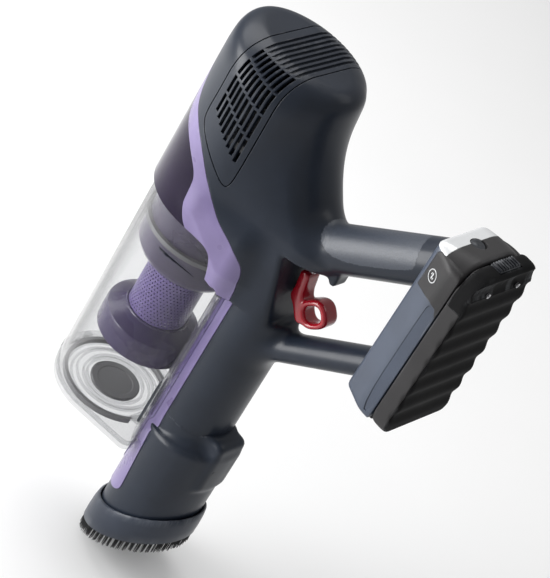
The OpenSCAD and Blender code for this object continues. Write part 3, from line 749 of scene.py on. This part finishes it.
SLANT = math.tan(math.radians(29))
collar = slanted("brush_collar_ring", [(30.35, -17.6), (33.0, -18), (33.6, -17.2), (33.7, -10), (33.4, -2),
                                       (32.7, 3.2), (32.0, 4.2), (31.1, 4.2), (30.5, 3.4), (30.35, 1)])
settle(collar, "brush", "collar_plastic", COLLAR, ("brush_collar",), 50)

random.seed(4)
hairs, sides, k = [], [], 0
TUFTS = 58
for tuft in range(TUFTS):
    middle = 2 * math.pi * tuft / TUFTS
    for hair in range(16):
        a = middle + random.uniform(-0.034, 0.034)
        r = 31.75 + random.uniform(-0.9, 1.0)
        size, spread = random.uniform(0.16, 0.24), random.uniform(-0.3, 0.5)
        high, low = -16.5, -18.0 - 8.6 + random.uniform(-0.5, 0.9)
        for level, wide, lean in ((high, size, 0.0), (0.5 * (high + low), size, 0.3),
                                  (low, size * 0.45, 1.0)):
            for c in range(5):
                t = 2 * math.pi * c / 5
                x = (r + spread * lean) * math.cos(a) + wide * math.cos(t)
                y = (r + spread * lean) * math.sin(a) + wide * math.sin(t)
                hairs.append((NOZZLE_X + x, y, level + x * SLANT))
        for level in (0, 5):
            sides += [(k + level + c, k + level + (c + 1) % 5, k + level + 5 + (c + 1) % 5, k + level + 5 + c)
                      for c in range(5)]
        sides.append([k + 10 + c for c in range(5)])
        k += 15
settle(make("bristle_tufts", hairs, sides), "brush", "bristle", BRISTLE, ("bristles",), 80)

# ---------------------------------------------------------------- dust bin

cup = bin_prism("bin_wall", 0.0, BIN_LOW, BIN_TOP)
cut(cup, bin_prism("bin_room", -2.2, BIN_LOW - 1, BIN_TOP + 1))
cut(cup, block("port", (-45, -13, 120), (-20, 13, 156)))
rim = bin_prism("rim", 0.5, BIN_LOW, BIN_LOW + 3.2)
cut(rim, bin_prism("rim_room", -1.0, BIN_LOW - 1, BIN_LOW + 5))
ears = blocks("ears", [((-103.6, side * 9.7 - 2, 41.6), (-99.0, side * 9.7 + 2, BIN_LOW + 2))
                       for side in (-1, 1)])
settle(bevel(cup, 0.5, 2), "bin", "clear_plastic", CLEAR, ("bin_cup",))
settle(bevel(rim, 0.5, 2), "bin", "clear_plastic", LID)
settle(bevel(ears, 0.6, 2), "bin", "clear_plastic", LID)

lid = bin_prism("bin_lid_plate", 0.0, 43, 46.5)
settle(bevel(lid, 1.2, 3), "lid", "clear_plastic", LID, ("bin_lid",))
for number, (r, dx, dy, high) in enumerate(((19.5, 0, 0, 2.6), (23, 1.0, 0.6, 2.0), (26.5, -0.8, 1.0, 1.7),
                                            (30, 0.8, -1.0, 1.4), (33.2, 0, 0, 1.2))):
    ridge = spin("lid_swirl_%d" % number, [(r - 0.9, 46.4), (r - 0.4, 46.5 + high), (r + 0.4, 46.5 + high),
                                           (r + 0.9, 46.4)], (BIN_X + dx, dy))
    settle(ridge, "lid", "clear_plastic", LID, (), 50)
disc = spin("lid_centre_disc", [(0.01, 46.5), (17, 46.5), (17, 47.7), (16.3, 48.2), (12.5, 48.0), (12, 47.6),
                                (0.01, 47.6)], (BIN_X, 0))
settle(disc, "lid", "frosted_plastic", DISC, ("lid_disc",))
latch = prism("lid_latch_tab", rounded([(-37, 41), (-29, 41), (-29, 43), (-37, 43)], 1), -6, 6)
settle(bevel(latch, 0.4, 2), "latch", "clear_plastic", LID, ("lid_latch",))

# ---------------------------------------------------------------- cyclone

skirt = spin("cyclone_skirt_shell", [(31.8, 93), (31.9, 94.2), (31.8, 108), (31.2, 109.4), (21.6, 115.4),
                                     (21.2, 116.4), (18.6, 116.4), (18.6, 113), (30.0, 106.6), (30.0, 93)],
             (BIN_X, 0))
settle(skirt, "bin", "purple_plastic", PURPLE, ("cyclone_skirt",))


def lattice(name, radius, low, high, around, rows, hole):
    """Tube with round holes in staggered rows"""
    points, faces = [], []
    wide, tall = 2 * math.pi / around, (high - low) / rows
    for row in range(rows):
        for column in range(around):
            middle = (column + 0.5 * (row % 2)) * wide
            level = low + (row + 0.5) * tall
            k = len(points)
            for i in range(8):
                t = math.pi / 4 * i
                u, v = max(-1, min(1, 1.42 * math.cos(t))), max(-1, min(1, 1.42 * math.sin(t)))
                for a, h in ((middle + u * wide / 2, level + v * tall / 2),
                             (middle + hole * math.cos(t) / radius, level + hole * math.sin(t))):
                    points.append((BIN_X + radius * math.cos(a), radius * math.sin(a), h))
            pairs = [(k + 2 * i, k + 2 * ((i + 1) % 8)) for i in range(8)]
            faces += [(a, b, b + 1, a + 1) for a, b in pairs]
    piece = make(name, points, faces)
    form = bmesh.new()
    form.from_mesh(piece.data)
    bmesh.ops.remove_doubles(form, verts=form.verts, dist=0.00002)
    bmesh.ops.recalc_face_normals(form, faces=form.faces)
    form.to_mesh(piece.data)
    form.free()
    thick = piece.modifiers.new("thick", "SOLIDIFY")
    thick.thickness, thick.offset = 0.0008, -1
    return apply(piece)


settle(lattice("mesh_tube", 20, 115, 162, 52, 19, 0.62), "bin", "lilac_plastic", MESH, ("mesh_filter",), 40)
shroud = spin("cyclone_collar_shell", [(15, 162), (30.6, 162), (32.0, 163), (35.4, 168), (35.8, 169.4),
                                       (35.8, 209), (34.0, 209), (34.0, 170), (29.6, 164), (15, 164)],
              (BIN_X, 0))
cut(shroud, rod("shroud_notch", 29.3, 150, 220))
settle(shroud, "bin", "frosted_plastic", FROSTED, ("cyclone_collar",))

# ---------------------------------------------------------------- trigger


def trigger_form(x, y, z):
    def rod_between(ax, az, bx, bz, ra, rb):
        u, v = x - ax, z - az
        dx, dz = bx - ax, bz - az
        t = np.clip((u * dx + v * dz) / (dx * dx + dz * dz), 0, 1)
        return np.hypot(u - t * dx, v - t * dz) - (ra + (rb - ra) * t)
    across, along = 0.71 * (x - 34) + 0.70 * (z - 208), -0.70 * (x - 34) + 0.71 * (z - 208)
    size = (np.abs(across / 10.4) ** 2.6 + np.abs(along / 8.8) ** 2.6 + 1e-9) ** (1 / 2.6)
    ring = np.abs((size - 1) * 9.4 + 1.6) - 1.9
    stem = rod_between(27.5, 199, 18.5, 209, 3.6, 3.8)
    top = rod_between(18.5, 209, 15.8, 224, 3.8, 3.6)
    flat = lower(lower(ring, stem, 3), top, 4)
    flat = np.maximum(flat, -((size - 1) * 9.4 + 3.5))
    return upper(upper(flat, np.abs(y) - 6.5, 2.6), z - 227, 1)


settle(surface("trigger_loop", trigger_form, (10, -8, 190), (46, 8, 230), 0.9), "trigger", "red_plastic", RED,
       ("trigger",))

# ---------------------------------------------------------------- battery holder, display and battery


def holder_form(x, y, z, grow=0.0, low=204.0, high=325.0):
    side = np.abs(y)
    flat = upper(upper(84 - x, -0.406 * x + 0.914 * side + 14.0, 2.5), side - 30, 1.6)
    return upper(upper(flat, x - 111, 0.8) - grow, upper(low - z, z - high, 1), 5)


holder = surface("holder_frame", holder_form, (83, -31, 203), (112, 31, 326), 1.2)
cut(holder, surface("holder_room", lambda x, y, z: upper(holder_form(x, y, z, -3, 190, 313), x - 120, 1),
                    (83, -31, 185), (112, 31, 318), 1.6, 1))
cut(holder, block("rear_room", (105, -27, 190), (120, 27, 312)))
panel = rounded([(102.6, 209), (102.6, 290), (103.5, 295.5), (108, 296), (110.2, 290), (110.2, 209)], 2)
for side in (-1, 1):
    cut(holder, prism("panel", panel, min(side * 29.5, side * 40), max(side * 29.5, side * 40)))
badge = surface("side_badges", lambda x, y, z: np.maximum(holder_form(x, y, z, 0.35), 286 - z),
                (83, -31, 284), (112, 31, 326), 1.2)
badge_line = [(80, 340), (80, 295.4), (86, 295.4), (101.6, 297.2), (108, 296.2), (110.9, 291), (112, 340)]
cut(badge, prism("badge_line", badge_line, -60, 60), "INTERSECT")
cut(badge, block("badge_core", (80, -24, 270), (130, 24, 340)))
settle(holder, "root", "holder_plastic", HOLDER, ("battery_holder",))
settle(badge, "root", "dark_plastic", CASE)

for side in (-1, 1):
    outward_way = Vector((-0.406, side * 0.914, 0))
    spot = Vector((94.4, side * 27.0, 309.0))
    mark = spin("badge_ring_%s" % ("left" if side < 0 else "right"),
                [(3.7, -0.3), (4.2, -0.3), (4.2, 0.25), (3.7, 0.25)], steps=64)
    dash = blocks("badge_bar_%s" % ("left" if side < 0 else "right"),
                  [((-0.4, -2.0, -0.3), (0.4, 2.0, 0.25)), ((-1.6, 0.2, -0.3), (-1.0, 1.6, 0.25)),
                   ((1.0, -1.6, -0.3), (1.6, -0.2, 0.25))])
    turn = facing(spot * MM, outward_way, Vector((0, 0, 1)))
    for piece in (mark, dash):
        piece.data.transform(turn)
        settle(piece, "root", "display_silver", SILVER)


def cap_form(x, y, z):
    slope = z - 326.2 - (x - 84) * 0.19
    flat = upper(upper(83.4 - x, -0.406 * x + 0.914 * np.abs(y) + 14.3, 3), np.abs(y) - 29.2, 3)
    dome = upper(slope, 0.8 * (z - 331) + 0.6 * (np.abs(y) - 17), 5)
    return upper(upper(flat, x - 110.8, 1.5), upper(dome, 321.5 - z, 1), 3)


cap = surface("display_cap", cap_form, (82, -31, 320), (112, 31, 333), 0.9)
cut(cap, rod("mode_room", 5.4, 318, 340, (96, 0), 64))
surround = copy(cap, "display_surround")
cut(surround, block("surround_front", (70, -40, 310), (94.2, 40, 340)))
cut(cap, block("cap_back", (94.0, -40, 310), (120, 40, 340)))
settle(cap, "root", "display_silver", SILVER, ("display_window",))
settle(surround, "root", "dark_plastic", CASE)
mode = spin("mode_button_cap", [(0.01, 321.5), (5, 321.5), (5, 327.0), (4.5, 327.7), (3.2, 327.5),
                                (0.01, 327.3)], (96, 0), 64)
settle(mode, "mode", "display_silver", BUTTON, ("mode_button",))


def battery_form(x, y, z):
    side = np.abs(y)
    wave = 0.75 * (1 - np.cos(2 * np.pi * (z - 212) / 15.5)) * (z < 316) * (z > 212)
    shoulder = 0.52 * (z - 332) + 0.854 * (side - 30) + 6.0
    foot = 0.52 * (204 - z) + 0.854 * (side - 30) + 2.5
    flat = upper(upper(upper(111.6 - x, side - 30, 1.4), x - 124.5 + wave, 3.0), upper(shoulder, foot, 3), 4)
    return upper(flat, upper(204 - z, z - 332, 2), 5)


pack_form = surface("battery_pack", battery_form, (110, -31, 203), (126, 31, 333), 1.1)
cut(pack_form, block("latch_room", (112.2, -10.6, 326.4), (121.6, 10.6, 340)))
scoop = rod("scoop", 12, -60, 60, steps=96)
scoop.data.transform(Matrix.Translation(Vector((0.134, 0, 0.322))) @ Matrix.Rotation(math.pi / 2, 4, "X"))
cut(pack_form, scoop)
back = copy(pack_form, "battery_back_cover")
cut(back, block("front_half", (100, -60, 190), (122.6, 60, 305)))
cut(back, block("top_half", (100, -60, 305), (113.0, 60, 340)))
cut(pack_form, block("back_half", (122.45, -60, 190), (140, 60, 305.2)))
cut(pack_form, block("back_top", (112.85, -60, 304.9), (140, 60, 340)))
settle(pack_form, "battery", "battery_grey", CASE, ("battery_case",))
settle(back, "battery", "battery_black", BACK_BLACK, ("battery_back",))
inner_case = block("battery_slide_case", (95.2, -26, 204), (111.8, 26, 312))
settle(bevel(inner_case, 1.5, 3), "battery", "battery_grey", CASE)
for number, y in enumerate((-14, 14)):
    screw = spin("back_screw_%d" % number, [(0.01, -0.3), (0.8, -0.3), (0.8, 0.25), (1.6, 0.4), (1.6, -0.9),
                                            (0.01, -0.9)], steps=32)
    place = Matrix.Translation(Vector((0.1242, y * MM, 0.318)))
    screw.data.transform(place @ Matrix.Rotation(math.pi / 2, 4, "Y"))
    settle(screw, "battery", "steel", STEEL, ("battery_screws",) if number else ())
ridges = blocks("release_ridges", [((113.2, -9.4 + i * 2.4, 331), (120.6, -8.2 + i * 2.4, 333.6))
                                   for i in range(8)])
release = block("battery_release_button", (112.8, -10, 329), (121.0, 10, 332.2))
settle(bevel(release, 0.7), "battery_release", "button_plastic", BUTTON, ("battery_button",))
settle(bevel(ridges, 0.4, 2), "battery_release", "button_plastic", BUTTON)

bin_key = block("bin_release_button", (-106.9, -9, 216), (-101, 9, 225))
settle(bevel(bin_key, 0.8), "bin_release", "button_plastic", BUTTON, ("bin_button",))

# ---------------------------------------------------------------- light and floor

LOW = CAD_BOX[0][2]
floor = make("floor", [(-4000, -4000, LOW / MM), (4000, -4000, LOW / MM), (4000, 4000, LOW / MM),
                       (-4000, 4000, LOW / MM)], [(0, 1, 2, 3)])
n = Nodes("pale_floor")
floor.data.materials.append(n.end(n.add("ShaderNodeBsdfPrincipled", {
    "Base Color": n.mix(n.span(n.noise(3.0), 0.3, 0.7), rgb(0.90, 0.90, 0.90), rgb(0.93, 0.93, 0.93)),
    "Roughness": 0.8}).outputs[0]))


def softbox(name, right, up, back, width, height, power):
    """A rectangular light, placed from the camera's point of view"""
    data = bpy.data.lights.new(name, "AREA")
    data.shape, data.size, data.size_y, data.energy = "RECTANGLE", width, height, power
    light = bpy.data.objects.new(name, data)
    place = AIM + RIGHT * right + UP * up + BACK * back
    light.matrix_world = facing(place, place - AIM, UP)
    bpy.context.scene.collection.objects.link(light)
    return light


softbox("key", -1.0, 0.45, 0.35, 0.6, 1.2, 24.0)
softbox("fill", 0.9, 0.5, 0.3, 0.4, 0.8, 1.2)
softbox("top", 0.0, 1.2, 0.1, 1.2, 0.5, 9.0)

world = bpy.data.worlds.new("studio")
world.use_nodes = True
world.node_tree.nodes["Background"].inputs[0].default_value = (1.0, 1.0, 1.0, 1.0)
world.node_tree.nodes["Background"].inputs[1].default_value = 0.44
bpy.context.scene.world = world


bpy.context.scene.view_settings.view_transform = "Standard"
